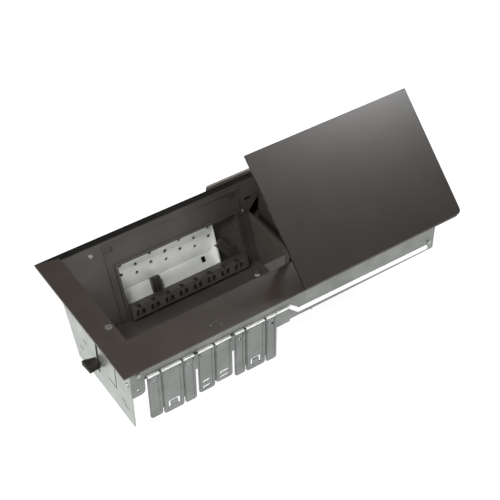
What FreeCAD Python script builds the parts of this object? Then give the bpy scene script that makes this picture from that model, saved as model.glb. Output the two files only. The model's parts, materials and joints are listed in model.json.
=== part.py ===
"""Floor socket box: a dark floor frame over a galvanised box, a sloping socket carrier, and a lid that
slides along the frame and swings up on two arms.

Everything is built from the frame's top front left corner: X runs right along the frame, Y to the back
and Z up. to_origin then moves it to the part's origin, the middle of the floor cut-out on the seat plane.
"""
import FreeCAD
import Part
import math
import os

V = FreeCAD.Vector

# ---------------------------------------------------------------- frame
frame_length = 252.3
frame_depth = 116.5
rim_height = 3.0            # top face down to the tops of the walls
seat_height = 2.7           # the overhanging rim seats on the floor this far down
undercut = 0.9              # slope under the front and left edges
front_fall = 0.66           # the front band slopes down to its edge by this much
bend_y = 23.3
band_width = 16.0           # end bands, left and right
opening_front = 25.0
opening_back = 110.8
opening_corner = 4.0
opening_left = band_width
opening_right = frame_length - band_width
low_z = -2.3                # everything that the lid lies over stays under this
rail_left = 129.6
rail_back = 118.5

# ---------------------------------------------------------------- galvanised box
sheet = 1.0
small_sides = 16            # sides of a small punched hole or rivet
wall_front = 10.0           # outer faces of the walls
wall_left = 8.5
wall_right = 243.8
wall_back = 108.0
deep_right = 113.0          # the deep part of the front wall ends here
shallow_z = -33.0
deep_z = -61.0
cheek_x = 155.0             # right wall of the socket well
cheek_top = -24.0
return_y = 28.0             # the well's inner return, behind the shallow front wall
ledge_z = -20.0             # the front panels step out below this line
step_out = 1.5

# ---------------------------------------------------------------- socket carrier
carrier_y = opening_back
carrier_z = -2.2
carrier_tilt = 70.0
carrier_thick = 2.2
carrier_left = 19.0
carrier_ear = 10.0           # the top edge runs on under the left band to here
carrier_right = 167.0
carrier_foot = 62.0         # length of the plate down its slope
surround_deep = 3.4         # the window's surround goes back this far
window_left = 52.0
window_right = 144.7
window_top = 20.0
window_bottom = 62.0
clip_pitch = 11.25          # half a wiring module

# ---------------------------------------------------------------- lid and lift
lid_width = 127.2
lid_depth = 90.3
lid_thick = 2.0
lid_corner = 3.3
lid_chamfer = 1.3
lid_tilt = 42.6
lid_open = V(127.6, -1.35, 1.10)       # front left top corner, lid up
lid_shut_y = 25.6                      # front edge, lid flat
hinge_u = 32.0                         # lug pin, back from the lid's front edge
hinge_v = 10.0                         # and below its top face
arm_offset = 20.0                      # arm pivot, off the middle of the lug pin's two places
pin_r = 1.5
running = 0.05
arm_width = 4.4
arm_spots = ((8.0, 1), (96.0, -1))     # from the lid's left edge, and the side that the lug is on
arm_thick = 3.0
gap = 0.4
upper_rod = (18.0, -12.0, 2.0)         # y, z and radius
lower_rod = (15.0, -26.0, 1.5)
carriage_z = -21.5
carriage_span = (4.0, 103.0)

# ---------------------------------------------------------------- release and clamps
button = V(66.2, 6.6, 0)
button_r = 3.75
rocker_y = 14.0
rocker_z = -2.0
screw_y = 40.4
screw_inset = 12.6
screw_r = 2.0
slot_y = 54.0
claw_thick = 4.0
claw_top_left = -38.5
claw_top_right = -22.0

to_origin = V(-frame_length / 2, -frame_depth / 2, seat_height)


# ---------------------------------------------------------------- helpers
def block(x0, x1, y0, y1, z0, z1):
    return Part.makeBox(x1 - x0, y1 - y0, z1 - z0, V(x0, y0, z0))


def prism(points, direction):
    return Part.Face(Part.makePolygon(list(points) + [points[0]])).extrude(direction)


def prism_x(points_yz, x0, x1):
    return prism([V(x0, y, z) for y, z in points_yz], V(x1 - x0, 0, 0))


def prism_y(points_xz, y0, y1):
    return prism([V(x, y0, z) for x, z in points_xz], V(0, y1 - y0, 0))


def prism_z(points_xy, z0, z1):
    return prism([V(x, y, z0) for x, y in points_xy], V(0, 0, z1 - z0))


def round_x(x0, x1, y, z, r):
    return Part.makeCylinder(r, x1 - x0, V(x0, y, z), V(1, 0, 0))


def round_y(x, y0, y1, z, r):
    return Part.makeCylinder(r, y1 - y0, V(x, y0, z), V(0, 1, 0))


def round_z(x, y, z0, z1, r):
    return Part.makeCylinder(r, z1 - z0, V(x, y, z0))


def punched_y(x, y0, y1, z, r):
    """A small round hole or rivet along Y, with few faces."""
    spots = [math.radians(360 * k / small_sides) for k in range(small_sides)]
    return prism_y([(x + r * math.cos(a), z + r * math.sin(a)) for a in spots], y0, y1)


def fuse_all(shapes):
    whole = shapes[0]
    if len(shapes) > 1:
        whole = whole.fuse(shapes[1:])
    return whole.removeSplitter()


def cut_all(shape, cutters):
    for cutter in cutters:
        shape = shape.cut(cutter)
    return shape


def group(shapes):
    return Part.makeCompound(shapes)


def upright_edges(shape, x, y):
    found = []
    for edge in shape.Edges:
        ends = [vertex.Point for vertex in edge.Vertexes]
        if all(math.hypot(p.x - x, p.y - y) < 1e-6 for p in ends) and abs(ends[0].z - ends[-1].z) > 1e-6:
            found.append(edge)
    return found


def bar_yz(start, end, width, x0, x1):
    """A straight bar between two points of the YZ plane."""
    (y0, z0), (y1, z1) = start, end
    length = math.hypot(y1 - y0, z1 - z0)
    ny, nz = -(z1 - z0) / length * width / 2, (y1 - y0) / length * width / 2
    return prism_x([(y0 + ny, z0 + nz), (y1 + ny, z1 + nz), (y1 - ny, z1 - nz), (y0 - ny, z0 - nz)], x0, x1)


# ---------------------------------------------------------------- frame
def make_flange_frame():
    section = [(undercut, -seat_height), (frame_depth, -seat_height), (frame_depth, 0), (bend_y, 0),
               (0, -front_fall), (0, undercut - seat_height)]
    inner = block(wall_left - 1, wall_right + 1, wall_front - step_out - 1.1, 114.0, -rim_height, -seat_height)
    plate = prism_x(section, 0, frame_length).fuse(inner)
    left_slope = prism_y([(0, -rim_height), (undercut, -seat_height), (0, undercut - seat_height)], 0, frame_depth)
    hole = block(opening_left, opening_right, opening_front, opening_back, -5, 1)
    hole = hole.makeFillet(opening_corner, upright_edges(hole, opening_left, opening_front))
    lowered = [(0, 114.3), (band_width, opening_back), (band_width, opening_front),
               (frame_length, opening_front), (frame_length, frame_depth), (0, frame_depth)]
    groove = prism_z(seal_plan(0.5), low_z - 0.2, 1)
    holes = [round_z(button.x, button.y, -5, 1, button_r + 0.1)]
    for x in (screw_inset, frame_length - screw_inset):
        holes.append(round_z(x, screw_y, -5, 1, 3.6))
    return cut_all(plate, [hole, prism_z(lowered, low_z, 1), groove, rocker_pocket(), left_slope] + holes)


def seal_plan(inset):
    return [(inset * 6, frame_depth - inset), (band_width + inset * 2, opening_back + inset),
            (frame_length - inset, opening_back + inset), (frame_length - inset, frame_depth - inset)]


def rocker_pocket():
    """Space under the front band for the rocker, its pin and its spring."""
    main = block(button.x - 5, button.x + 5, 5.0, opening_front + 1, -5, -0.8)
    pin_way = round_x(button.x - 7, button.x + 7, rocker_y, rocker_z, 0.5)
    front = block(button.x - 5, button.x + 5, 5.0, 10.5, -1.5, -0.7)
    return main.cut(front).fuse(pin_way)


def make_rear_seal_strip():
    strip = prism_z(seal_plan(0.5), low_z - 0.2, low_z + 0.1)
    grooves = [block(20, frame_length - 3, y, y + 0.6, low_z - 0.1, low_z + 1) for y in (112.6, 114.4)]
    return cut_all(strip, grooves)


def make_rear_rail():
    rail = prism_z([(rail_left, frame_depth), (frame_length, frame_depth), (frame_length, rail_back),
                    (rail_left + 2, rail_back)], -seat_height, 0)
    return rail.cut(block(rail_left + 4, frame_length - 4, frame_depth + 0.9, rail_back, -rim_height, -1.6))


def make_right_cover():
    """Fixed deck beside the cable outlet, folded down at the front and at the outlet."""
    left, right, front, back = 163.0, opening_right - 0.4, 68.0, 102.0
    deck = block(left, right, front, back, low_z - 1.6, low_z - 0.1)
    floor = shallow_z + sheet
    skirts = [block(left, right, front, front + 1.2, floor, low_z - 0.1),
              block(left, left + 1.2, front, back, floor, low_z - 0.1)]
    beads = [block(left + 14, right - 10, y, y + 3, low_z - 2.2, low_z - 1.6) for y in (76, 90)]
    cover = fuse_all([deck] + skirts + beads)
    return cover.cut(block(178, 222, front - 1, front + 3, -28, -12))


# ---------------------------------------------------------------- galvanised box
panel_gaps = (28.2, 43.5, 53.4, 66.3, 80.0, 89.2, 104.5)
panel_feet = (-57.0, -58.0, -53.5, -57.5, -55.0, -53.5, -58.8, -56.0)
panel_start = 19.0
panel_end = 123.4


def make_front_wall():
    inner = wall_front + sheet
    upper = block(wall_left, wall_right, wall_front, inner, ledge_z - sheet, -rim_height)
    shallow = block(panel_end, wall_right, wall_front, inner, shallow_z, ledge_z)
    corner = block(wall_left, panel_start - 1, wall_front, inner, -34.0, ledge_z)
    top_lip = block(wall_left + 2, wall_right - 2, inner - sheet, inner + 5, -rim_height - sheet, -rim_height)
    top_lip = top_lip.cut(block(button.x - 6, button.x + 6, 0, 40, -6, -2))
    parts = [upper, shallow, corner, top_lip]
    starts = (panel_start,) + tuple(x + 0.4 for x in panel_gaps)
    ends = tuple(x - 0.4 for x in panel_gaps) + (deep_right,)
    for x0, x1, foot in zip(starts, ends, panel_feet):
        parts.append(front_panel(x0, x1, foot))
    parts.append(block(deep_right - 0.01, panel_end, wall_front - step_out, wall_front - step_out + sheet,
                       shallow_z, ledge_z))
    parts.append(block(panel_start, panel_end, wall_front - step_out, inner, ledge_z - sheet, ledge_z))
    parts.append(front_bead())
    wall = fuse_all(parts)
    return cut_all(wall, front_cutters())


def front_panel(x0, x1, foot):
    """One hanging panel, with clipped lower corners and a pressed rib at each side."""
    y0 = wall_front - step_out
    c = 1.8
    panel = prism_y([(x0, ledge_z), (x1, ledge_z), (x1, foot + c), (x1 - c, foot), (x0 + c, foot), (x0, foot + c)],
                    y0, y0 + sheet)
    ribs = []
    for x in (x0 + 1.9, x1 - 1.9):
        ribs.append(prism_z([(x - 1.1, y0 + 0.01), (x, y0 - 0.5), (x + 1.1, y0 + 0.01)], foot + 6, ledge_z - 3))
    return panel.fuse(ribs)


def front_bead():
    """Long pressed bead of the shallow part, with its step down."""
    path = [(panel_end, ledge_z - 0.5), (130.6, -27.5), (236.7, -29.0)]
    runs = []
    for (x0, z0), (x1, z1) in zip(path, path[1:]):
        direction = V(x1 - x0, 0, z1 - z0)
        runs.append(Part.makeCylinder(1.3, direction.Length, V(x0, wall_front + 0.6, z0), direction))
    runs.append(Part.makeSphere(1.3, V(130.6, wall_front + 0.6, -27.5)))
    whole = runs[0].fuse(runs[1:])
    return whole.common(block(115, 240, wall_front - 2, wall_front + 0.5, -32, -18))


def front_cutters():
    y0, y1 = wall_front - 3, wall_front + 2
    cutters = [punched_y(x, y0, y1, -26.6, 0.9) for x in (23.9, 48.4, 85.1, 109.7)]
    cutters.append(punched_y(13.2, y0, y1, -29.3, 0.9))
    for x in (32.0, 92.9):
        cutters.extend([block(x, x + 1.4, y0, y1, -56.0, -50.0), block(x + 6.8, x + 8.2, y0, y1, -56.0, -50.0),
                        block(x, x + 8.2, y0, y1, -51.4, -50.0)])
    for x0, x1, z in ((57.0, 62.4, -48.0), (57.0, 62.4, -53.4), (69.7, 76.7, -47.8), (69.7, 76.7, -51.8)):
        cutters.append(block(x0, x1, y0, y1, z - 1.8, z))
    return cutters


def make_left_end_wall():
    x0, x1 = wall_left, wall_left + sheet
    outline = [(wall_front + sheet, -rim_height), (106.8, -rim_height), (98.6, -24), (84.0, deep_z),
               (84.0, deep_z - 1.6), (70.0, deep_z - 1.6), (70.0, deep_z), (wall_front + sheet, deep_z)]
    wall = prism_x(outline, x0, x1)
    lip = block(x1 - 0.01, x1 + 5, 16, 100, -rim_height - sheet, -rim_height)
    lip = lip.cut(round_z(screw_inset, screw_y, -9, 0, 4.4))
    cutters = [block(x0 - 1, x1 + 1, slot_y - 1.6, slot_y + 1.6, -50, -9)]
    for y, z in ((68, -37), (75, -48), (16, -49), (19, -46)):
        cutters.append(block(x0 - 1, x1 + 1, y, y + 5, z - 1.2, z))
    cutters.append(block(x0 - 1, x1 + 1, 30, 31.2, -44, -26))
    cutters.append(block(x0 - 1, x1 + 1, 30, 41, -44, -42.8))
    cutters.extend(rod_holes(x0 - 1, x1 + 1))
    return cut_all(fuse_all([wall, lip]), cutters)


def make_right_end_wall():
    x0, x1 = wall_right - sheet, wall_right
    wall = block(x0, x1, wall_front + sheet, wall_back - sheet, shallow_z, -rim_height)
    lip = block(x0 - 5, x0 + 0.01, 16, 100, -rim_height - sheet, -rim_height)
    lip = lip.cut(round_z(frame_length - screw_inset, screw_y, -9, 0, 4.4))
    cutters = [block(x0 - 1, x1 + 1, slot_y - 1.6, slot_y + 1.6, -30, -9)] + rod_holes(x0 - 1, x1 + 1)
    return cut_all(fuse_all([wall, lip]), cutters)


def rod_holes(x0, x1):
    return [round_x(x0, x1, y, z, r) for y, z, r in (upper_rod, lower_rod)]


def make_back_wall():
    return block(cheek_x + 13, wall_right, wall_back - sheet, wall_back, shallow_z, -rim_height)


def make_compartment_floor():
    y0, y1 = wall_front + sheet, wall_back - sheet
    plan = [(deep_right, y0), (wall_right - sheet, y0), (wall_right - sheet, y1), (cheek_x + 1.2, y1),
            (cheek_x + 1.2, return_y), (deep_right, return_y)]
    floor = prism_z(plan, shallow_z, shallow_z + sheet)
    return cut_all(floor, [round_z(x, 84, -40, -30, 3) for x in (180, 212)])


def make_right_cheek():
    outline = [(return_y, cheek_top), (114.0, cheek_top), (114.0, -47.0), (99.5, deep_z - 1),
               (84.2, deep_z - 1), (return_y, deep_z + 4)]
    return prism_x(outline, cheek_x, cheek_x + 1.2)


def make_well_return_panel():
    side = block(deep_right, deep_right + sheet, wall_front + sheet, return_y, -55, shallow_z)
    back = block(deep_right, cheek_x, return_y, return_y + sheet, -55, shallow_z + sheet)
    return fuse_all([side, back])


def make_rear_housing():
    """Folded back of the deep well, with its left end and the strip beside the cable outlet."""
    outer = [(114.0, -rim_height), (114.0, -47.0), (99.5, -62.0), (84.2, -62.0)]
    inner = [(84.2, deep_z), (99.1, deep_z), (113.0, -46.6), (113.0, -rim_height)]
    shell = prism_x(outer + inner, 28.0, cheek_x)
    end = prism_x([(113.0, -rim_height), (113.0, -46.6), (99.1, deep_z), (carrier_back(deep_z) + 0.1, deep_z),
                   (carrier_back(-rim_height) + 0.1, -rim_height)], 28.0, 29.0)
    x0, x1 = cheek_x + 1.2, cheek_x + 13
    strip = block(cheek_x - 0.01, x1, 113.0, 114.0, cheek_top + 0.1, -rim_height)
    low_strip = block(x0, x1, 113.0, 114.0, shallow_z, cheek_top + 0.2)
    floor = block(x0, x1, wall_back - sheet, 113.0, shallow_z, shallow_z + sheet)
    side = block(x1 - 0.8, x1, wall_back, 113.0, shallow_z, -rim_height)
    return fuse_all([shell, end, strip, low_strip, floor, side])


def make_wall_rivets():
    y = wall_front
    spots = ((13.9, -16.0), (136.0, -8.0), (186.0, -8.0), (239.3, -25.4))
    return group([punched_y(x, y - 0.9, y, z, 1.4) for x, z in spots])


def make_earth_screw():
    head = round_z(170.0, 36.0, shallow_z + sheet, shallow_z + sheet + 2.6, 4.0)
    return head.cut(block(165, 175, 35.5, 36.5, shallow_z + sheet + 1.6, -20))


# ---------------------------------------------------------------- socket carrier
def carrier_place():
    return FreeCAD.Placement(V(0, carrier_y, carrier_z), FreeCAD.Rotation(V(1, 0, 0), 180 + carrier_tilt))


def slab(x0, x1, s0, s1, n0, n1):
    """A block in the carrier's plane: s runs down the plate, n back from its face."""
    return Part.makeBox(x1 - x0, s1 - s0, n1 - n0, V(x0, s0, n0))


def placed(shape):
    shape = shape.copy()
    shape.Placement = carrier_place()
    return shape


def make_socket_carrier():
    right = cheek_x - 0.4
    plan = [V(carrier_ear, -3, 0), V(carrier_right, -3, 0), V(carrier_right, 13, 0), V(right, 23.2, 0),
            V(right, carrier_foot, 0), V(25, carrier_foot, 0), V(25, 24, 0), V(carrier_left, 14, 0), V(carrier_ear, 8, 0)]
    plate = Part.Face(Part.makePolygon(plan + [plan[0]])).extrude(V(0, 0, carrier_thick))
    x0, x1, s0 = window_left, window_right, window_top
    surround = slab(x0 - 2, x1 + 2, s0 - 2, carrier_foot, -0.9, surround_deep)
    rim = slab(x0 - 7, x1 + 6, 2.6, 4.0, -0.8, 0)
    posts = [slab(x0 - 7, x0 - 5.8, 4, 60, -0.8, 0), slab(x1 + 2.9, x1 + 4.1, 4, 60, -0.8, 0)]
    body = fuse_all([plate, surround, rim] + posts)
    cutters = [slab(x0, x1, s0, 51.4, -3, 8)]
    cutters.extend([slab(x0 - 6.4, x0, 5.0, 8.6, -2, 1.0), slab(x1 - 2, x1 + 4.6, 6.4, 10.0, -2, 1.0)])
    cutters.append(slab(154.0, 160.0, 12.0, 13.6, -2, 4))
    cutters.extend([Part.makeCylinder(1.25, 12, V(x, s, -6)) for x, s in carrier_screw_spots])
    body = placed(cut_all(body, cutters))
    under_rim = block(-20, 260, 0, opening_back - 0.1, deep_z, carrier_z)
    below = block(-20, 260, 0, 130, deep_z, -rim_height)
    body = body.common(under_rim.fuse(below)).cut(block(0, band_width + 0.1, 0, 130, -rim_height, 1))
    foot_y = carrier_y - carrier_foot * math.cos(math.radians(carrier_tilt)) + 2.0
    foot = block(25, right, 74.0, foot_y, deep_z, deep_z + 1.8)
    foot = foot.cut(round_z(foot_screw[0], foot_screw[1], -70, -50, 1.6))
    return fuse_all([body, foot])


carrier_screw_spots = ((36.4, 6.0), (151.4, 20.6))
foot_screw = (146.0, 78.6)


def make_carrier_screws():
    screws = []
    for x, s in carrier_screw_spots:
        head = Part.makeCylinder(2.4, 1.2, V(x, s, -1.2))
        screws.append(placed(head.fuse(Part.makeCylinder(1.25, 4.0, V(x, s, -0.1)))))
    x, y = foot_screw
    head = round_z(x, y, deep_z + 1.8, deep_z + 3.4, 2.8).cut(block(x - 3, x + 3, y - 0.4, y + 0.4, deep_z + 2.6, 0))
    screws.append(head.fuse(round_z(x, y, deep_z - 1.6, deep_z + 1.9, 1.6)))
    return group(screws)


def make_carrier_bracket():
    bar = block(wall_left + sheet, cheek_x, 72.0, 84.0, deep_z - 1.6, deep_z)
    x, y = foot_screw
    return bar.cut(round_z(x, y, -70, -50, 1.6))


def make_clip_strip():
    """Row of half-module pockets that the wiring devices clip into."""
    s0, s1 = 51.4, 60.0
    strip = slab(window_left + 0.1, window_right - 0.1, s0, s1, -4.4, -0.9)
    cutters, teeth = [], []
    for i in range(int((window_right - window_left) // clip_pitch)):
        x = window_left + 2.6 + i * clip_pitch
        cutters.append(slab(x, x + 6.8, s0 + 3.0, s1 - 1.6, -6, -2.0))
        cutters.append(slab(x + 2.0, x + 4.8, s0 - 1, s0 + 1.8, -6, 0))
        teeth.append(slab(x + 2.4, x + 4.4, s0 + 3.0, s1 - 1.6, -3.8, -1.9))
    return placed(fuse_all([cut_all(strip, cutters)] + teeth))


def ribbed_bar(x0, width, s0, s1, n0):
    bar = slab(x0, x0 + width, s0, s1, n0, n0 + 2.0)
    ribs = [slab(x0 + k * (width - 1) / 2, x0 + k * (width - 1) / 2 + 1, s0, s1, n0 - 1.2, n0) for k in range(3)]
    return fuse_all([bar] + ribs)


def make_cable_post():
    return placed(ribbed_bar(74.0, 6.5, 41.0, 52.8, 4.6))


def make_cable_arm():
    return placed(ribbed_bar(128.0, 8.0, 26.0, 52.8, 4.6))


guard_folds = ((109.8, -17.0), (109.4, -31.0), (106.4, -45.5))
side_plates = (45.0, 127.6)
hole_columns = 7


def carrier_back(z, depth=carrier_thick):
    """Y of the carrier's back at height z, for a given depth behind its front face."""
    slope = math.radians(carrier_tilt)
    return carrier_y + (z - carrier_z) / math.tan(slope) + depth / math.sin(slope)


def make_perforated_guard():
    """Folded guard behind the wiring devices, with staggered holes and an end plate at each side."""
    x0, x1 = side_plates
    inner = [(y - sheet, z) for y, z in guard_folds]
    guard = prism_x(list(guard_folds) + inner[::-1], x0, x1)
    lip = prism_x([(109.8, -17.0), (108.8, -17.0), (carrier_back(-16), -16), (109.8, -16)], x0, x1)
    ends = []
    for x, depth in ((x0, carrier_thick), (x1 - sheet, surround_deep + 0.05)):
        front = [(carrier_back(-16, depth), -16), (carrier_back(-60, depth), -60)]
        ends.append(prism_x(front + [(98.0, -58.6), (106.4, -45.5), (109.4, -31), (109.8, -16)], x, x + sheet))
    holes = []
    for column in range(hole_columns):
        for z in ((-30.8, -37.6) if column % 2 else (-26.7, -34.4)):
            holes.append(punched_y(56.0 + 11.5 * column, 100, 115, z, 1.3))
    return fuse_all([cut_all(guard.fuse(lip), holes)] + ends)


def make_rear_slope_plate():
    """Bright plate under the guard, sloping forward to the carrier's foot."""
    x0, x1 = side_plates[0] + sheet, side_plates[1] - sheet
    top, bottom = (105.2, -45.6), (95.4, -60.6)
    plate = bar_yz(top, bottom, sheet, x0, x1)
    corner = prism([V(x1 - 12, 90, -70), V(x1 + 1, 90, -70), V(x1 + 1, 90, -52)], V(0, 20, 0))
    return cut_all(plate, [corner, block(115.6, 119.0, 94, 108, -51.0, -46.8)])


# ---------------------------------------------------------------- lid and lift
def lid_place():
    return FreeCAD.Placement(lid_open, FreeCAD.Rotation(V(1, 0, 0), lid_tilt))


def on_lid(shape):
    shape = shape.copy()
    shape.Placement = lid_place()
    return shape


def lug_pin_up():
    point = lid_place().multVec(V(0, hinge_u, -hinge_v))
    return point.y, point.z


def arm_pivot():
    """Pivot that is as far from the lug pin with the lid up as with the lid flat."""
    (y0, z0), (y1, z1) = lug_pin_up(), (lid_shut_y + hinge_u, -hinge_v)
    length = math.hypot(y1 - y0, z1 - z0)
    return (y0 + y1) / 2 + (z1 - z0) / length * arm_offset, (z0 + z1) / 2 - (y1 - y0) / length * arm_offset


def make_lid_plate():
    section = [(0, 0), (lid_depth, 0), (lid_depth, -lid_thick), (lid_chamfer, -lid_thick), (0, -lid_thick + lid_chamfer)]
    plate = prism_x(section, 0, lid_width)
    corner = block(lid_width - lid_corner, lid_width + 1, -1, lid_corner, -5, 1)
    keep = round_z(lid_width - lid_corner, lid_corner, -5, 1, lid_corner)
    return on_lid(plate.cut(corner.cut(keep)))


def make_lid_lugs():
    lugs = []
    for start, side in arm_spots:
        x0 = start + arm_thick + gap if side > 0 else start - gap - 2.0
        web = prism_x([(hinge_u - 4, -lid_thick), (hinge_u + 7, -lid_thick), (hinge_u + 3, -hinge_v),
                       (hinge_u - 3, -hinge_v)], x0, x0 + 2.0)
        foot = block(x0 - (0 if side > 0 else 6), x0 + 2 + (6 if side > 0 else 0), hinge_u - 4, hinge_u + 9,
                     -lid_thick - 1.0, -lid_thick)
        lug = fuse_all([web, foot, round_x(x0, x0 + 2.0, hinge_u, -hinge_v, 3.0)])
        lugs.append(on_lid(lug.cut(round_x(x0 - 1, x0 + 3, hinge_u, -hinge_v, pin_r))))
    return group(lugs)


def make_lug_pins():
    pins = []
    for start, side in arm_spots:
        x0 = start - gap if side > 0 else start - gap - 2.6
        pins.append(on_lid(round_x(x0, x0 + arm_thick + 2 * gap + 2.6, hinge_u, -hinge_v, pin_r)))
    return group(pins)


def make_lift_arms():
    """Two arms, each turning on the carriage at one end and carrying a lug pin at the other."""
    low, high = arm_pivot(), lug_pin_up()
    arms = []
    for start, side in arm_spots:
        x0 = lid_open.x + start
        x1 = x0 + arm_thick
        arm = fuse_all([bar_yz(low, high, arm_width, x0, x1), round_x(x0, x1, *low, 4.0), round_x(x0, x1, *high, 3.0)])
        arm = arm.cut(round_x(x0 - 1, x1 + 1, *low, pin_r + 0.5 + running))
        arms.append(arm.cut(round_x(x0 - 1, x1 + 1, *high, pin_r + running)))
    return group(arms)


def make_arm_pins():
    low = arm_pivot()
    pins = []
    for start, side in arm_spots:
        x0 = lid_open.x + (start - gap - 3.0 if side > 0 else start + 0.5)
        pins.append(round_x(x0, x0 + arm_thick + gap + 2.5, *low, pin_r + 0.5))
    return group(pins)


def make_lid_carriage():
    """Sliding plate with an ear for each arm and bosses that run on the two rods."""
    x0, x1 = lid_open.x + carriage_span[0], lid_open.x + carriage_span[1]
    low = arm_pivot()
    plate = block(x0, x1, 14.0, 50.0, carriage_z, carriage_z + 1.0)
    parts = [plate.cut(block(x0 + 20, x1 - 20, 26.0, 44.0, -30, 0))]
    for start, side in arm_spots:
        e0 = lid_open.x + (start - gap - 3.0 if side > 0 else start + arm_thick + gap)
        ear = block(e0, e0 + 3.0, low[0] - 4, low[0] + 4, carriage_z, low[1])
        parts.append(ear.fuse(round_x(e0, e0 + 3.0, *low, 4.0)))
    for b0 in (x0, x1 - 10):
        y, z, r = upper_rod
        parts.append(block(b0, b0 + 10, y - r - 2, y + r + 2, carriage_z, z + r + 2))
        y, z, r = lower_rod
        parts.append(block(b0, b0 + 10, y - r - 1.5, y + r + 1.5, z - r - 1.5, carriage_z + 1))
    whole = fuse_all(parts)
    for y, z, r in (upper_rod, lower_rod):
        whole = whole.cut(round_x(0, 260, y, z, r + running))
    return whole.cut(round_x(0, 260, *low, pin_r + 0.5))


def make_guide_rods():
    return group([round_x(wall_left - 0.8, wall_right + 0.8, y, z, r) for y, z, r in (upper_rod, lower_rod)])


def make_rod_bushes():
    bushes = []
    for x in (wall_left + sheet, wall_right - sheet - 3):
        for y, z, r in (upper_rod, lower_rod):
            half = r + 1.6
            bush = block(x, x + 3, y - half, y + half, z - half, z + half)
            bushes.append(bush.cut(round_x(x - 1, x + 4, y, z, r)))
    return group(bushes)


# ---------------------------------------------------------------- release
def make_release_button():
    top = -front_fall * (bend_y - button.y) / bend_y
    cap = round_z(button.x, button.y, -1.3, top, button_r)
    foot = round_z(button.x, button.y, -1.62, -1.3, 0.8)
    return fuse_all([cap, foot]).cut(round_z(button.x, button.y, top - 0.2, 1, button_r - 1.1))


def make_lift_rocker():
    """Flat lever: the button presses its front end and its tail lifts the lid's edge."""
    half = 4.2
    plate = block(button.x - half, button.x + half, 5.6, opening_front, -2.4, -1.7)
    tail = block(button.x - half, button.x + half, opening_front - 1, 26.8, -2.9, -2.2)
    boss = round_x(button.x - half, button.x + half, rocker_y, rocker_z, 0.95)
    return fuse_all([plate, tail, boss]).cut(round_x(0, 250, rocker_y, rocker_z, 0.5 + running))


def make_rocker_pin():
    return round_x(button.x - 6.9, button.x + 6.9, rocker_y, rocker_z, 0.5)


def make_button_spring():
    """Bowed leaf between the rocker's tail and the frame."""
    points = [V(button.x - 3, 17, -1.65), V(button.x, 17, -0.95), V(button.x + 3, 17, -1.65)]
    inner = [V(p.x, p.y, p.z + 0.12) for p in points]
    edges = [Part.Arc(*points).toShape(), Part.makeLine(points[2], inner[2]), Part.Arc(*inner[::-1]).toShape(),
             Part.makeLine(inner[0], points[0])]
    return Part.Face(Part.Wire(edges)).extrude(V(0, 3, 0))


# ---------------------------------------------------------------- clamps
def make_clamp_screw(x, top, foot):
    head = round_z(x, screw_y, top - 2.0, top, 2.3)
    recess = block(x - 1.7, x + 1.7, screw_y - 0.4, screw_y + 0.4, top - 1.2, 1)
    recess = recess.fuse(block(x - 0.4, x + 0.4, screw_y - 1.7, screw_y + 1.7, top - 1.2, 1))
    return fuse_all([head, round_z(x, screw_y, foot, top - 1.9, screw_r)]).cut(recess)


def make_ferrule(x, top):
    ring = round_z(x, screw_y, -rim_height, top, 3.6).fuse(round_z(x, screw_y, top - 4.4, -rim_height, 3.05))
    return cut_all(ring, [round_z(x, screw_y, top - 2.5, 1, 2.3 + running),
                          round_z(x, screw_y, top - 6, 0, screw_r + running)])


def make_claw(side, top):
    """Claw outside the wall, a web through its slot and the threaded block on the screw."""
    low = top - claw_thick
    nut = block(10.2, 17.0, 36.0, 58.2, top - 7, top)
    web = block(6.9, 10.3, slot_y - 1.2, slot_y + 1.2, low, top)
    outside = prism_z([(-0.6, slot_y + 4.6), (8.1, slot_y + 2.6), (8.1, slot_y - 4.0), (0.2, slot_y - 4.8)], low, top)
    nose = block(-0.6, 2.4, slot_y - 4.4, slot_y + 3.6, top - 0.01, top + 0.8)
    claw = fuse_all([nut, web, outside, nose]).cut(round_z(screw_inset, screw_y, -90, 0, screw_r + running))
    return claw if side < 0 else claw.mirror(V(frame_length / 2, 0, 0), V(1, 0, 0))


def make_claw_guides():
    left = block(wall_left + sheet, 14.0, 58.6, 59.6, -58, -8)
    right = block(238.3, wall_right - sheet, 58.6, 59.6, shallow_z + sheet, -8)
    return group([left, right])


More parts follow.
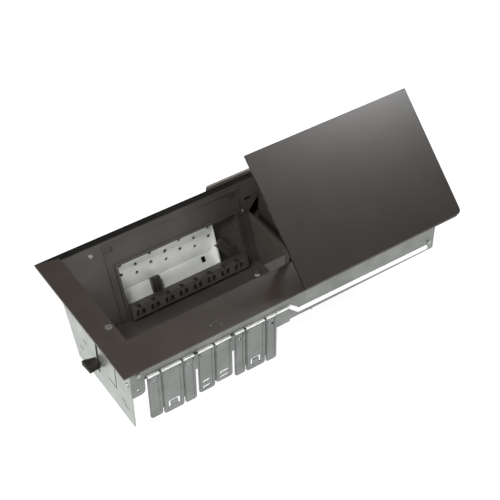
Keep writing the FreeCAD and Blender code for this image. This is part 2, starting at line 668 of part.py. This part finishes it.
# ---------------------------------------------------------------- the part
def build():
    right_screw = frame_length - screw_inset
    left_top, right_top = 0.0, low_z
    return {
        "flange_frame": make_flange_frame(),
        "rear_seal_strip": make_rear_seal_strip(),
        "rear_rail": make_rear_rail(),
        "right_cover": make_right_cover(),
        "front_wall": make_front_wall(),
        "left_end_wall": make_left_end_wall(),
        "right_end_wall": make_right_end_wall(),
        "back_wall": make_back_wall(),
        "compartment_floor": make_compartment_floor(),
        "right_cheek": make_right_cheek(),
        "well_return_panel": make_well_return_panel(),
        "rear_housing": make_rear_housing(),
        "wall_rivets": make_wall_rivets(),
        "earth_screw": make_earth_screw(),
        "socket_carrier": make_socket_carrier(),
        "carrier_screws": make_carrier_screws(),
        "carrier_bracket": make_carrier_bracket(),
        "clip_strip": make_clip_strip(),
        "cable_post": make_cable_post(),
        "cable_arm": make_cable_arm(),
        "perforated_guard": make_perforated_guard(),
        "rear_slope_plate": make_rear_slope_plate(),
        "guide_rods": make_guide_rods(),
        "rod_bushes": make_rod_bushes(),
        "lid_carriage": make_lid_carriage(),
        "arm_pins": make_arm_pins(),
        "lift_arms": make_lift_arms(),
        "lid_plate": make_lid_plate(),
        "lid_lugs": make_lid_lugs(),
        "lug_pins": make_lug_pins(),
        "release_button": make_release_button(),
        "button_spring": make_button_spring(),
        "lift_rocker": make_lift_rocker(),
        "rocker_pin": make_rocker_pin(),
        "clamp_screw_left": make_clamp_screw(screw_inset, left_top - 0.1, -56.0),
        "clamp_screw_right": make_clamp_screw(right_screw, right_top - 0.1, -31.4),
        "screw_ferrules": group([make_ferrule(screw_inset, left_top), make_ferrule(right_screw, right_top)]),
        "claw_left": make_claw(-1, claw_top_left),
        "claw_right": make_claw(1, claw_top_right),
        "claw_guides": make_claw_guides(),
    }


low_y, low_pivot_z = arm_pivot()
high_y, high_z = lug_pin_up()
swing = math.degrees(math.atan2(high_z - low_pivot_z, high_y - low_y)
                     - math.atan2(-hinge_v - low_pivot_z, lid_shut_y + hinge_u - low_y))
print(f"arm pivot {low_y:.4f} {low_pivot_z:.4f}, lug pin {high_y:.4f} {high_z:.4f}, swing {swing:.4f}")

os.makedirs("parts", exist_ok=True)
for name, shape in build().items():
    moved = shape.copy()
    moved.translate(to_origin)
    box = moved.BoundBox
    print(f"{name:18s} solids {len(moved.Solids)} valid {moved.isValid()} volume {moved.Volume:8.1f} "
          f"x {box.XMin:7.1f} {box.XMax:7.1f} y {box.YMin:6.1f} {box.YMax:6.1f} z {box.ZMin:6.1f} {box.ZMax:6.1f}")
    moved.exportStep(f"parts/{name}.step")
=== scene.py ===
# %% [markdown]
# # A floor socket box
# The box is a galvanised steel case under a dark painted frame. A sloping plastic carrier holds the wiring
# devices, and a lid slides along the frame and swings up on two arms. The imported solids are the fixed
# frame:
# nothing there is moved. We only soften edges, add the small things that a solid leaves out,
# and give each surface its own finish.

import json
import math

import bmesh
import bpy
from mathutils import Matrix, Vector


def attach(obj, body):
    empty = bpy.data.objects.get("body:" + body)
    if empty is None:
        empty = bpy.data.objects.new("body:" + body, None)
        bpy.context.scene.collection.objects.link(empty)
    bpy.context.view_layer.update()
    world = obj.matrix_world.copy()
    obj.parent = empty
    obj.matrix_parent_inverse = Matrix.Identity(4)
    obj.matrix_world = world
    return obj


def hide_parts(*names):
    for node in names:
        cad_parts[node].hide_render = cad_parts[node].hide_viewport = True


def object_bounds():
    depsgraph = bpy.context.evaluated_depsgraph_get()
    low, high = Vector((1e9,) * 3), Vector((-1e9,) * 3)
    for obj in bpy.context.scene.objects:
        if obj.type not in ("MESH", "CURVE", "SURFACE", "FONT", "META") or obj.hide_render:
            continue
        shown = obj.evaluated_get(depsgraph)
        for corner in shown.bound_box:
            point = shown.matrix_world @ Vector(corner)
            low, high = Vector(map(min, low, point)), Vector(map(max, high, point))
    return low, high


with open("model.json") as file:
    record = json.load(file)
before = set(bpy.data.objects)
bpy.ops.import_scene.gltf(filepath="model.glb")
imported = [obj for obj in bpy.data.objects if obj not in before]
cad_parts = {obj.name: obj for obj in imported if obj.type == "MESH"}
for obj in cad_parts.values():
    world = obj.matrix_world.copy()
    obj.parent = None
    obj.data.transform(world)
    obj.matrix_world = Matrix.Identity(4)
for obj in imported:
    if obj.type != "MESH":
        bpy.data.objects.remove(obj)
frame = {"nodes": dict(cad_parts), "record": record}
cad_box = [list(corner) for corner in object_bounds()]

# %% [markdown]
# ## Small tools
# Sizes are easiest to read in millimetres, and Blender wants metres, so `mm` turns one into the other.
# Each CAD node knows its body, and a new piece has to ride on the same one. We look it up in the record.

# %% Units and bodies
MM = 0.001


def mm(*values):
    """Millimetres to metres, as a vector."""
    return Vector(values) * MM


record = frame["record"]
body_of_node = {node: body for body, nodes in record["behaviour"]["bodies"].items() for node in nodes}
slot_of_node = {part["node"]: part["material_slot"] for part in record["subparts"]}
print(len(body_of_node), "nodes")

# %% [markdown]
# ## Finishes
# A painted or plated sheet is never one even colour. Each finish here is a Principled shader whose colour
# and roughness drift with noise on Object coordinates, with a fine bump. Values that are the same all over
# are typed straight into the shader's sockets.

# %% Node helpers


def new_finish(name, metallic):
    """An empty Principled material: returns it with its node tree and shader."""
    material = bpy.data.materials.new(name)
    material.use_nodes = True
    tree = material.node_tree
    shader = tree.nodes["Principled BSDF"]
    shader.inputs["Metallic"].default_value = metallic
    return material, tree, shader


def object_noise(tree, scale, detail=3.0, stretch=(1, 1, 1)):
    """Noise on Object coordinates: scale is in bumps per metre."""
    place = tree.nodes.new("ShaderNodeTexCoord")
    mapping = tree.nodes.new("ShaderNodeMapping")
    mapping.inputs["Scale"].default_value = stretch
    noise = tree.nodes.new("ShaderNodeTexNoise")
    noise.inputs["Scale"].default_value = scale
    noise.inputs["Detail"].default_value = detail
    tree.links.new(place.outputs["Object"], mapping.inputs["Vector"])
    tree.links.new(mapping.outputs["Vector"], noise.inputs["Vector"])
    return noise.outputs["Fac"]


def blend_colours(tree, factor, low, high, target):
    """Run factor through a two-stop ramp into a colour socket."""
    ramp = tree.nodes.new("ShaderNodeValToRGB")
    ramp.color_ramp.elements[0].position = 0.35
    ramp.color_ramp.elements[0].color = (*low, 1)
    ramp.color_ramp.elements[1].position = 0.65
    ramp.color_ramp.elements[1].color = (*high, 1)
    tree.links.new(factor, ramp.inputs["Fac"])
    tree.links.new(ramp.outputs["Color"], target)


def spread(tree, factor, low, high, target):
    """Stretch a 0 to 1 factor over low to high."""
    span = tree.nodes.new("ShaderNodeMapRange")
    span.inputs["To Min"].default_value = low
    span.inputs["To Max"].default_value = high
    tree.links.new(factor, span.inputs["Value"])
    tree.links.new(span.outputs["Result"], target)


def add_bump(tree, shader, factor, depth):
    """A bump of a few hundredths of a millimetre: depth is in metres."""
    bump = tree.nodes.new("ShaderNodeBump")
    bump.inputs["Distance"].default_value = depth
    tree.links.new(factor, bump.inputs["Height"])
    tree.links.new(bump.outputs["Normal"], shader.inputs["Normal"])


# %% [markdown]
# ### Bronze paint
# The frame and lid are coated in a dark warm satin paint. Its orange-peel is a fraction of a millimetre,
# so the noise is fine and shallow, and a second broad noise keeps the gloss from looking machine-even.

# %% Paints and plastics


def grained_finish(name, low, high, roughness, grain, depth, metallic=0.0, specular=0.5):
    """A paint, plastic or rubber: broad colour drift with a fine grain."""
    material, tree, shader = new_finish(name, metallic)
    shader.inputs["Specular IOR Level"].default_value = specular
    blend_colours(tree, object_noise(tree, 45), low, high, shader.inputs["Base Color"])
    spread(tree, object_noise(tree, 160), *roughness, shader.inputs["Roughness"])
    add_bump(tree, shader, object_noise(tree, grain, detail=2.0), depth)
    return material


def sheet_metal(name, low, high, roughness, metallic=0.75, stretch=(1, 1, 1)):
    """A plated sheet: satin grey with a faint cloudiness and fine rolling marks."""
    material, tree, shader = new_finish(name, metallic)
    blend_colours(tree, object_noise(tree, 70, detail=4.0), low, high, shader.inputs["Base Color"])
    spread(tree, object_noise(tree, 240, stretch=stretch), *roughness, shader.inputs["Roughness"])
    add_bump(tree, shader, object_noise(tree, 1500, stretch=stretch), 0.00001)
    return material


finishes = {
    "dark_frame": grained_finish("bronze_frame_paint", (0.013, 0.0095, 0.007), (0.016, 0.012, 0.009),
                                 (0.36, 0.42), 2600, 0.00001),
    "dark_lid": grained_finish("bronze_lid_paint", (0.007, 0.005, 0.0035), (0.009, 0.0065, 0.0045),
                               (0.235, 0.26), 2600, 0.000005),
    "dark_plastic": grained_finish("carrier_plastic", (0.025, 0.0215, 0.018), (0.031, 0.027, 0.023),
                                   (0.42, 0.52), 1800, 0.00003),
    "black_rubber": grained_finish("seal_rubber", (0.003, 0.003, 0.003), (0.006, 0.006, 0.005),
                                   (0.75, 0.9), 1400, 0.00005, specular=0.05),
    "grey_rail": grained_finish("rail_paint", (0.072, 0.065, 0.058), (0.094, 0.086, 0.077),
                                (0.4, 0.5), 2000, 0.00001),
    "galvanised": sheet_metal("galvanised_sheet", (0.31, 0.33, 0.31), (0.37, 0.39, 0.37),
                              (0.36, 0.44), metallic=0.9),
    "bright_zinc": sheet_metal("bright_zinc_sheet", (0.58, 0.59, 0.57), (0.66, 0.67, 0.65),
                               (0.45, 0.55), metallic=0.3),
    "plated_steel": sheet_metal("plated_fastener", (0.45, 0.45, 0.43), (0.58, 0.57, 0.55), (0.25, 0.35),
                                metallic=1.0, stretch=(1, 1, 14)),
    "mechanism_steel": grained_finish("black_oxide", (0.025, 0.023, 0.021), (0.04, 0.037, 0.034),
                                      (0.38, 0.5), 1500, 0.00003, metallic=0.4),
    "bush_plastic": grained_finish("bush_plastic", (0.25, 0.25, 0.24), (0.31, 0.31, 0.30),
                                   (0.4, 0.5), 1500, 0.00003),
    "claw_black": grained_finish("blackened_claw", (0.004, 0.003, 0.002), (0.016, 0.013, 0.010),
                                 (0.55, 0.7), 700, 0.00008, specular=0.2),
}
print(len(finishes), "finishes")

# %% Paint the CAD nodes
for node, item in frame["nodes"].items():
    item.data.materials.clear()
    item.data.materials.append(finishes[slot_of_node[node]])

# %% [markdown]
# ## Soft edges
# A real sheet or moulding has no knife edge: the tiny round along it catches the light and draws the part.
# A solid arrives as loose triangles, so we copy it, merge its corners, dissolve the flat triangles back into
# whole faces, and bevel every edge that is sharp. The copy then stands for the solid.

# %% Soften a solid
SHARP = math.radians(30)
FLAT = math.radians(0.6)
SAME_CORNER = 0.002 * MM


def break_edges(form, width, segments):
    """Join flat faces into one, then bevel every sharp edge by width in mm."""
    bmesh.ops.dissolve_limit(form, angle_limit=FLAT, verts=form.verts, edges=form.edges)
    if width == 0:
        return
    edges = [edge for edge in form.edges if len(edge.link_faces) == 2 and edge.calc_face_angle(0) > SHARP]
    bmesh.ops.bevel(form, geom=edges, offset=width * MM, offset_type="OFFSET", affect="EDGES",
                    segments=segments, profile=0.5, material=-1, clamp_overlap=True)


def mount_piece(name, form, slot, body, replaced=None):
    """Turn form into a painted object that rides on body, in place of a solid if one is named."""
    mesh = bpy.data.meshes.new(name)
    form.to_mesh(mesh)
    form.free()
    piece = bpy.data.objects.new(name, mesh)
    bpy.context.collection.objects.link(piece)
    mesh.materials.append(finishes[slot])
    if replaced:
        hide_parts(replaced)
    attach(piece, body)
    return piece


def soften(node, width):
    """A bevelled copy of a CAD node that replaces it on the same body."""
    source = frame["nodes"][node]
    form = bmesh.new()
    form.from_mesh(source.data)
    form.transform(source.matrix_world)
    bmesh.ops.remove_doubles(form, verts=form.verts, dist=SAME_CORNER)
    break_edges(form, width, segments=2)
    return mount_piece(node + "_soft", form, slot_of_node[node], body_of_node[node], node)


softened = {"flange_frame": 0.25, "lid_plate": 0.3, "rear_rail": 0.2, "claw_left": 0.35, "claw_right": 0.35,
            "release_button": 0.12}
for node, width in softened.items():
    piece = soften(node, width)
    print(piece.name, len(piece.data.polygons), "faces")

# %% [markdown]
# ## Sheet work
# Folded sheet is drawn the way it is punched: a flat outline with its holes, pushed through to a thickness.
# `cut_sheet` fills the outline and pushes it back, and `finish_piece` breaks every sharp edge afterwards.
# Places are measured from the frame's top front left corner.

# %% Sheet helpers
FRAME_LENGTH, FRAME_DEPTH, SEAT = 252.3, 116.5, 2.7


def from_corner(x, y, z):
    """A place measured in mm from the frame's top front left corner: X right, Y back, Z up."""
    return mm(x - FRAME_LENGTH / 2, y - FRAME_DEPTH / 2, z + SEAT)


def rounded(corners, steps=4):
    """A closed path from (x, z, radius) corners: each becomes a round of its radius."""
    path = []
    for k, (x, z, radius) in enumerate(corners):
        here = Vector((x, z))
        if radius == 0:
            path.append(here)
            continue
        before = (Vector(corners[k - 1][:2]) - here).normalized()
        after = (Vector(corners[(k + 1) % len(corners)][:2]) - here).normalized()
        half = before.angle(after) / 2
        centre = here + (before + after).normalized() * radius / math.sin(half)
        start = here + before * radius / math.tan(half) - centre
        end = here + after * radius / math.tan(half) - centre
        turn = start.angle_signed(end)
        path += [centre + Matrix.Rotation(-turn * step / steps, 2) @ start for step in range(steps + 1)]
    return path


def slot_path(x0, x1, z0, z1, radius):
    """A slot with round corners."""
    return rounded([(x0, z0, radius), (x1, z0, radius), (x1, z1, radius), (x0, z1, radius)], 2)


def circle_path(x, z, radius):
    """A round hole of 20 sides."""
    turns = [2 * math.pi * k / 20 for k in range(20)]
    return [Vector((x + radius * math.cos(a), z + radius * math.sin(a))) for a in turns]


def cut_sheet(form, outline, holes, y0, y1):
    """Add an upright sheet to form: an outline in X and Z with its holes, from depth y0 to y1."""
    edges = []
    for loop in [outline] + list(holes):
        verts = [form.verts.new(from_corner(p.x, y0, p.y)) for p in loop]
        edges += [form.edges.new((verts[k - 1], verts[k])) for k in range(len(verts))]
    filled = bmesh.ops.triangle_fill(form, use_beauty=True, edges=edges)["geom"]
    faces = [item for item in filled if isinstance(item, bmesh.types.BMFace)]
    pushed = bmesh.ops.extrude_face_region(form, geom=faces, use_keep_orig=True)["geom"]
    back = [item for item in pushed if isinstance(item, bmesh.types.BMVert)]
    bmesh.ops.translate(form, verts=back, vec=mm(0, y1 - y0, 0))


def add_box(form, x0, x1, y0, y1, z0, z1):
    """A block between two X, two Y and two Z values in mm from the frame's corner."""
    middle = from_corner((x0 + x1) / 2, (y0 + y1) / 2, (z0 + z1) / 2)
    size = Matrix.Diagonal(((x1 - x0) * MM, (y1 - y0) * MM, (z1 - z0) * MM, 1))
    bmesh.ops.create_cube(form, size=1, matrix=Matrix.Translation(middle) @ size)


def add_rod(form, start, end, radius, tip=None, sides=16):
    """A round bar between two places, with its own end radius when it tapers."""
    along = end - start
    place = Matrix.Translation((start + end) / 2) @ along.to_track_quat("Z", "Y").to_matrix().to_4x4()
    bmesh.ops.create_cone(form, cap_ends=True, segments=sides, radius1=radius * MM,
                          radius2=(radius if tip is None else tip) * MM, depth=along.length, matrix=place)


def finish_piece(name, form, slot, body, width=0.0, replaced=None):
    """Turn form into a piece: tidy its faces, break its edges, paint it and mount it."""
    break_edges(form, width, segments=1)
    bmesh.ops.recalc_face_normals(form, faces=form.faces)
    return mount_piece(name, form, slot, body, replaced)


# %% [markdown]
# ## The front wall
# This pressing is the most worked part of the case. Its deep half steps out below a ledge into eight hanging
# panels: shallow grooves part most of them, two slits go right through, and knock-outs and slots are punched
# in four. The shallow half carries one long bead.

# %% Front wall
SKIN, SHEET = 8.5, 1.0                  # front face of the panels and the sheet's thickness
UPPER_SKIN = 10.0                       # front face of the sheet above the ledge
LEDGE, LEDGE_BACK = -20.0, 10.4
GROOVE_HALF, SLIT_HALF = 0.45, 1.0
FIRST_EDGE, LAST_EDGE = 19.0, 113.0     # where the row of panels starts and ends
RIB, RIB_INSET = 0.75, 1.2              # rolled edge of a panel: its radius and its way in from the side


def knock_out(x0, x1, web=1.5, foot=-56.4, head=-50.0, under=-51.7):
    """A horseshoe cut round a tab that can be knocked out."""
    return rounded([(x0, foot, 0), (x0 + web, foot, 0), (x0 + web, under, 0.3), (x1 - web, under, 0.3),
                    (x1 - web, foot, 0), (x1, foot, 0), (x1, head, 0.8), (x0, head, 0.8)])


def trim(edge):
    """How far a panel stops short of one of its edges."""
    return SLIT_HALF if edge in slits else GROOVE_HALF if edge in grooves else 0


grooves = (28.2, 43.5, 66.3, 89.2, 104.5)
slits = (53.3, 80.1)
panel_feet = (-58.4, -59.9, -59.9, -57.5, -55.6, -59.0, -59.6, -60.2)
bounds = sorted(grooves + slits)
panel_spans = list(zip([FIRST_EDGE] + bounds, bounds + [LAST_EDGE]))
panel_cuts = {
    1: [knock_out(32, 40.3)],
    3: [slot_path(57.2, 62.6, -50.0, -47.8, 0.8), slot_path(57.2, 62.6, -55.0, -52.8, 0.8)],
    4: [slot_path(69.7, 76.4, -49.4, -47.2, 0.8), slot_path(69.7, 76.4, -53.6, -51.6, 0.8)],
    6: [knock_out(93, 100.8)],
}
small_holes = (23.9, 48.4, 85.1, 109.7)

# The front wall's panels get a darker copy of the galvanised sheet: the darkening is painted shade, not a
# different zinc.
shaded_zinc = sheet_metal("painted_shade_zinc_sheet", (0.17, 0.18, 0.17), (0.22, 0.23, 0.22),
                           (0.36, 0.44), metallic=0.9)
# The ledges and the bead get a near-white zinc: the brightness is a painted highlight along the folds, not
# wear.
highlight_zinc = sheet_metal("painted_highlight_fold_zinc", (0.80, 0.81, 0.79), (0.88, 0.89, 0.87), (0.40, 0.50), metallic=0.1)

form = bmesh.new()
folds = bmesh.new()
for k, ((left, right), foot) in enumerate(zip(panel_spans, panel_feet)):
    x0, x1 = left + trim(left), right - trim(right)
    holes = panel_cuts.get(k, []) + [circle_path(x, -26.6, 0.9) for x in small_holes if x0 < x < x1]
    cut_sheet(form, rounded([(x0, LEDGE, 0.3), (x1, LEDGE, 0.3), (x1, foot, 1.8), (x0, foot, 1.8)]), holes,
              SKIN, SKIN + SHEET)
    add_box(folds, x0 + 0.3, x1 - 0.3, SKIN - 0.05, LEDGE_BACK, LEDGE - SHEET, LEDGE + 0.05)
    for x in (x0 + RIB_INSET, x1 - RIB_INSET):
        head_end, foot_end = from_corner(x, SKIN + 0.1, LEDGE - 3), from_corner(x, SKIN + 0.1, foot + 3.5)
        add_rod(form, head_end, foot_end, RIB, sides=12)
for x in grooves:
    add_box(form, x - 1.2, x + 1.2, SKIN + 0.55, SKIN + 0.95, -54.0, LEDGE - 0.5)
for x in slits:
    add_box(form, x - 1.6, x + 1.6, SKIN + 0.1, SKIN + 0.9, -34.0, LEDGE - 0.5)
cut_sheet(form, rounded([(112.6, LEDGE, 0), (123.4, LEDGE, 0.3), (123.4, -33, 0.3), (112.6, -33, 0)]), [],
          SKIN + 0.05, SKIN + 0.95)
add_box(folds, 112.8, 123.2, SKIN - 0.05, LEDGE_BACK, LEDGE - SHEET, LEDGE + 0.05)
upper_sheet = rounded([(8.5, -3, 0), (243.8, -3, 0), (243.8, -33, 0.8), (121, -33, 0), (121, -20.4, 0),
                       (18, -20.4, 0), (18, -34, 3.5), (8.5, -34, 0.8)])
cut_sheet(form, upper_sheet, [circle_path(13.2, -29.3, 1.1)], UPPER_SKIN, UPPER_SKIN + SHEET)
for x0, x1 in ((10.5, 60.2), (72.2, 241.8)):
    add_box(form, x0, x1, 10.3, 16, -4, -3)
BEAD = 1.6
bead = [from_corner(x, UPPER_SKIN + 0.1, z) for x, z in ((122.6, -20.4), (130.6, -27.5), (236.7, -29.0))]
for start, end in zip(bead, bead[1:]):
    add_rod(folds, start, end, BEAD, sides=20)
for place in bead[1:]:
    bmesh.ops.create_uvsphere(folds, u_segments=16, v_segments=10, radius=BEAD * MM,
                              matrix=Matrix.Translation(place))
pressing = finish_piece("front_wall_pressing", form, "galvanised", "root", 0.15, "front_wall")
# The pressing wears the darker galvanised copy, which is painted shade.
pressing.data.materials[0] = shaded_zinc
# The folds carry the near-white painted highlight finish.
highlighted_folds = finish_piece("front_wall_folds", folds, "galvanised", "root", 0.2)
highlighted_folds.data.materials[0] = highlight_zinc
print("front wall:", len(pressing.data.polygons), "faces,", len(highlighted_folds.data.polygons), "on its folds")

# %% [markdown]
# ## Behind the carrier's window
# The window looks onto a bright guard and a dark ribbed side wall, with a ribbed arm that steers the cables.
# Both are placed by their way down the carrier's slope and their depth behind its face.

# %% Side wall and cable arm
TILT = math.radians(70)
CARRIER_HEAD_Y, CARRIER_HEAD_Z = 110.8, -2.2


def on_carrier(x, s, n):
    """A place by X, the way down the carrier's slope and the depth behind its face."""
    return from_corner(x, CARRIER_HEAD_Y - s * math.cos(TILT) + n * math.sin(TILT),
                       CARRIER_HEAD_Z - s * math.sin(TILT) - n * math.cos(TILT))


def add_bar(form, start, end, side, face, width, thick):
    """A straight bar whose middle runs from start to end: side and face are its unit directions."""
    corners = []
    for middle in (start, end):
        for across in (-width / 2, width / 2):
            for deep in (0, thick):
                corners.append(form.verts.new(middle + side * across * MM + face * deep * MM))
    bmesh.ops.convex_hull(form, input=corners)


behind = Vector((0, math.sin(TILT), -math.cos(TILT)))

form = bmesh.new()
top, foot = on_carrier(128.6, 36.5, 3.4), on_carrier(140.0, 53.6, 3.4)
across = (foot - top).normalized().cross(behind)
ARM_WIDTH, ARM_THICK, ARM_RIB = 6.5, 2.0, 0.9
add_bar(form, top, foot, across, behind, ARM_WIDTH, ARM_THICK)
for offset in (-2.8, 0, 2.8):
    shift = across * offset * MM
    add_bar(form, top + shift, foot + shift, across, -behind, ARM_RIB, ARM_RIB)
finish_piece("cable_arm_ribbed", form, "dark_plastic", "root", 0.1, "cable_arm")

form = bmesh.new()
left, right = on_carrier(127.4, 38, 8.8), on_carrier(146.2, 38, 3.6)
down = Vector((0, -math.cos(TILT), -math.sin(TILT)))
facing = down.cross((right - left).normalized()).normalized()
BAFFLE_HEIGHT, RIB_HALF, RIB_COUNT = 31.0, 15, 9
add_bar(form, left, right, down, -facing, BAFFLE_HEIGHT, SHEET)
for k in range(RIB_COUNT):
    middle = left.lerp(right, (k + 0.6) / 9.4)
    add_rod(form, middle - down * RIB_HALF * MM, middle + down * RIB_HALF * MM, 0.5, sides=10)
finish_piece("side_baffle", form, "dark_plastic", "root", 0.08)

# %% [markdown]
# The carrier's two face screws have small pan heads with a raised cross, and a third holds its foot.

# %% Carrier screws
form = bmesh.new()
for x, s in ((36.4, 6.0), (151.4, 20.6)):
    add_rod(form, on_carrier(x, s, 3.0), on_carrier(x, s, -0.1), 1.25)
    add_rod(form, on_carrier(x, s, 0.0), on_carrier(x, s, -1.0), 1.7, tip=1.3)
    for along, over in ((0.9, 0.25), (0.25, 0.9)):
        corners = [on_carrier(x + i * along, s + j * over, n)
                   for i in (-1, 1) for j in (-1, 1) for n in (-0.9, -1.15)]
        bmesh.ops.convex_hull(form, input=[form.verts.new(corner) for corner in corners])
foot_x, foot_y = 146.0, 78.6
for z0, z1, radius, tip in ((-62.6, -59.1, 1.6, None), (-59.2, -57.8, 2.6, 2.0)):
    add_rod(form, from_corner(foot_x, foot_y, z0), from_corner(foot_x, foot_y, z1), radius, tip)
finish_piece("carrier_pan_screws", form, "plated_steel", "root", 0.0, "carrier_screws")

# %% [markdown]
# The fixed deck beside the cable outlet stands in deep shade: its near-black plastic is painted shade, darker
# than the other mouldings.

# %% Deck painted shade
deck_shade_plastic = grained_finish("deck_painted_shade", (0.006, 0.0045, 0.003), (0.010, 0.0075, 0.005), (0.55, 0.65),
                              1800, 0.00003)
# The right cover gets the near-black plastic as painted shade.
frame["nodes"]["right_cover"].data.materials[0] = deck_shade_plastic

# %% [markdown]
# ## Floor, light and camera
# The box stands on a plain white floor. For the camera, and in reflections, most of the floor's white comes
# from emission, so it stays white without more light on the object, while the rest keeps the shadow.

# %% Floor
FLOOR_HALF = 8.0                        # metres
FLOOR_GLOW, GLOW_SHARE = 1.12, 0.82
low_z = cad_box[0][2]
floor_mesh = bpy.data.meshes.new("floor")
form = bmesh.new()
bmesh.ops.create_grid(form, x_segments=1, y_segments=1, size=FLOOR_HALF,
                      matrix=Matrix.Translation((0, 0, low_z)))
form.to_mesh(floor_mesh)
form.free()
floor = bpy.data.objects.new("floor", floor_mesh)
bpy.context.collection.objects.link(floor)


def seen_directly(tree):
    """1 where the camera, a mirror or glass looks straight at the surface."""
    path = tree.nodes.new("ShaderNodeLightPath")
    joined = path.outputs["Is Camera Ray"]
    for name in ("Is Glossy Ray", "Is Transmission Ray"):
        either = tree.nodes.new("ShaderNodeMath")
        either.operation = "MAXIMUM"
        tree.links.new(joined, either.inputs[0])
        tree.links.new(path.outputs[name], either.inputs[1])
        joined = either.outputs[0]
    return joined


floor_finish, tree, shader = new_finish("white_floor", 0.0)
shader.inputs["Base Color"].default_value = (0.85, 0.85, 0.85, 1)
shader.inputs["Roughness"].default_value = 0.9
shader.inputs["Specular IOR Level"].default_value = 0.0
glow = tree.nodes.new("ShaderNodeEmission")
glow.inputs["Color"].default_value = (1, 1, 1, 1)
glow.inputs["Strength"].default_value = FLOOR_GLOW
share = tree.nodes.new("ShaderNodeMath")
share.operation = "MULTIPLY"
share.inputs[1].default_value = GLOW_SHARE
tree.links.new(seen_directly(tree), share.inputs[0])
mixer = tree.nodes.new("ShaderNodeMixShader")
tree.links.new(share.outputs[0], mixer.inputs["Fac"])
tree.links.new(shader.outputs["BSDF"], mixer.inputs[1])
tree.links.new(glow.outputs["Emission"], mixer.inputs[2])
tree.links.new(mixer.outputs["Shader"], tree.nodes["Material Output"].inputs["Surface"])
floor.data.materials.append(floor_finish)

# %% World
FILL_LIGHT, SEEN_WHITE = 0.20, 1.0
world = bpy.data.worlds.new("studio")
bpy.context.scene.world = world
world.use_nodes = True
tree = world.node_tree
backdrop = tree.nodes["Background"]
backdrop.inputs["Color"].default_value = (1, 1, 1, 1)
level = tree.nodes.new("ShaderNodeMapRange")
level.inputs["To Min"].default_value = FILL_LIGHT
level.inputs["To Max"].default_value = SEEN_WHITE
path = tree.nodes.new("ShaderNodeLightPath")
tree.links.new(path.outputs["Is Camera Ray"], level.inputs["Value"])
tree.links.new(level.outputs["Result"], backdrop.inputs["Strength"])

# %% Lamps


def softbox(name, place, target, size, power):
    """A square area lamp at place that faces target."""
    lamp = bpy.data.lights.new(name, "AREA")
    lamp.shape = "SQUARE"
    lamp.size = size
    lamp.energy = power
    item = bpy.data.objects.new(name, lamp)
    item.location = place
    item.rotation_euler = (Vector(target) - Vector(place)).to_track_quat("-Z", "Y").to_euler()
    bpy.context.collection.objects.link(item)


softbox("key_left", (-1.4, -0.15, 0.6), (0, 0, 0), 0.8, 26)
softbox("well_light", (-0.7, -0.35, 1.25), (-0.05, 0, 0), 0.4, 18)
softbox("lid_glow", (1.28, -0.80, 1.60), (0.06, 0, 0), 0.4, 23)
softbox("front_low", (0.1, -1.4, 0.6), (0, 0, 0), 0.5, 14)
softbox("rear_panel", (1.4, 0.75, 0.95), (0.1, 0, 0), 0.5, 36)

# %% [markdown]
# The camera looks down from the left front at arm's length, turned by a little over a third of a right
# angle, with a long lens that keeps the edges nearly parallel.

# %% Camera
camera_place = mm(-304.2, -454.5, 497.1)
camera_forward = Vector((0.4089, 0.6104, -0.6784))
camera_right = Vector((0.8275, -0.5614, -0.0063))
lens = bpy.data.cameras.new("camera")
lens.lens = 82.2
lens.sensor_width = 36.0
camera = bpy.data.objects.new("camera", lens)
back = -camera_forward.normalized()
right = (camera_right - camera_right.dot(back) * back).normalized()
up = back.cross(right)
turn = Matrix((right, up, back)).transposed()
camera.matrix_world = Matrix.Translation(camera_place) @ turn.to_4x4()
bpy.context.collection.objects.link(camera)
bpy.context.scene.camera = camera
bpy.context.scene.view_settings.view_transform = "Standard"

# %% Sizes
print("solids", cad_box)
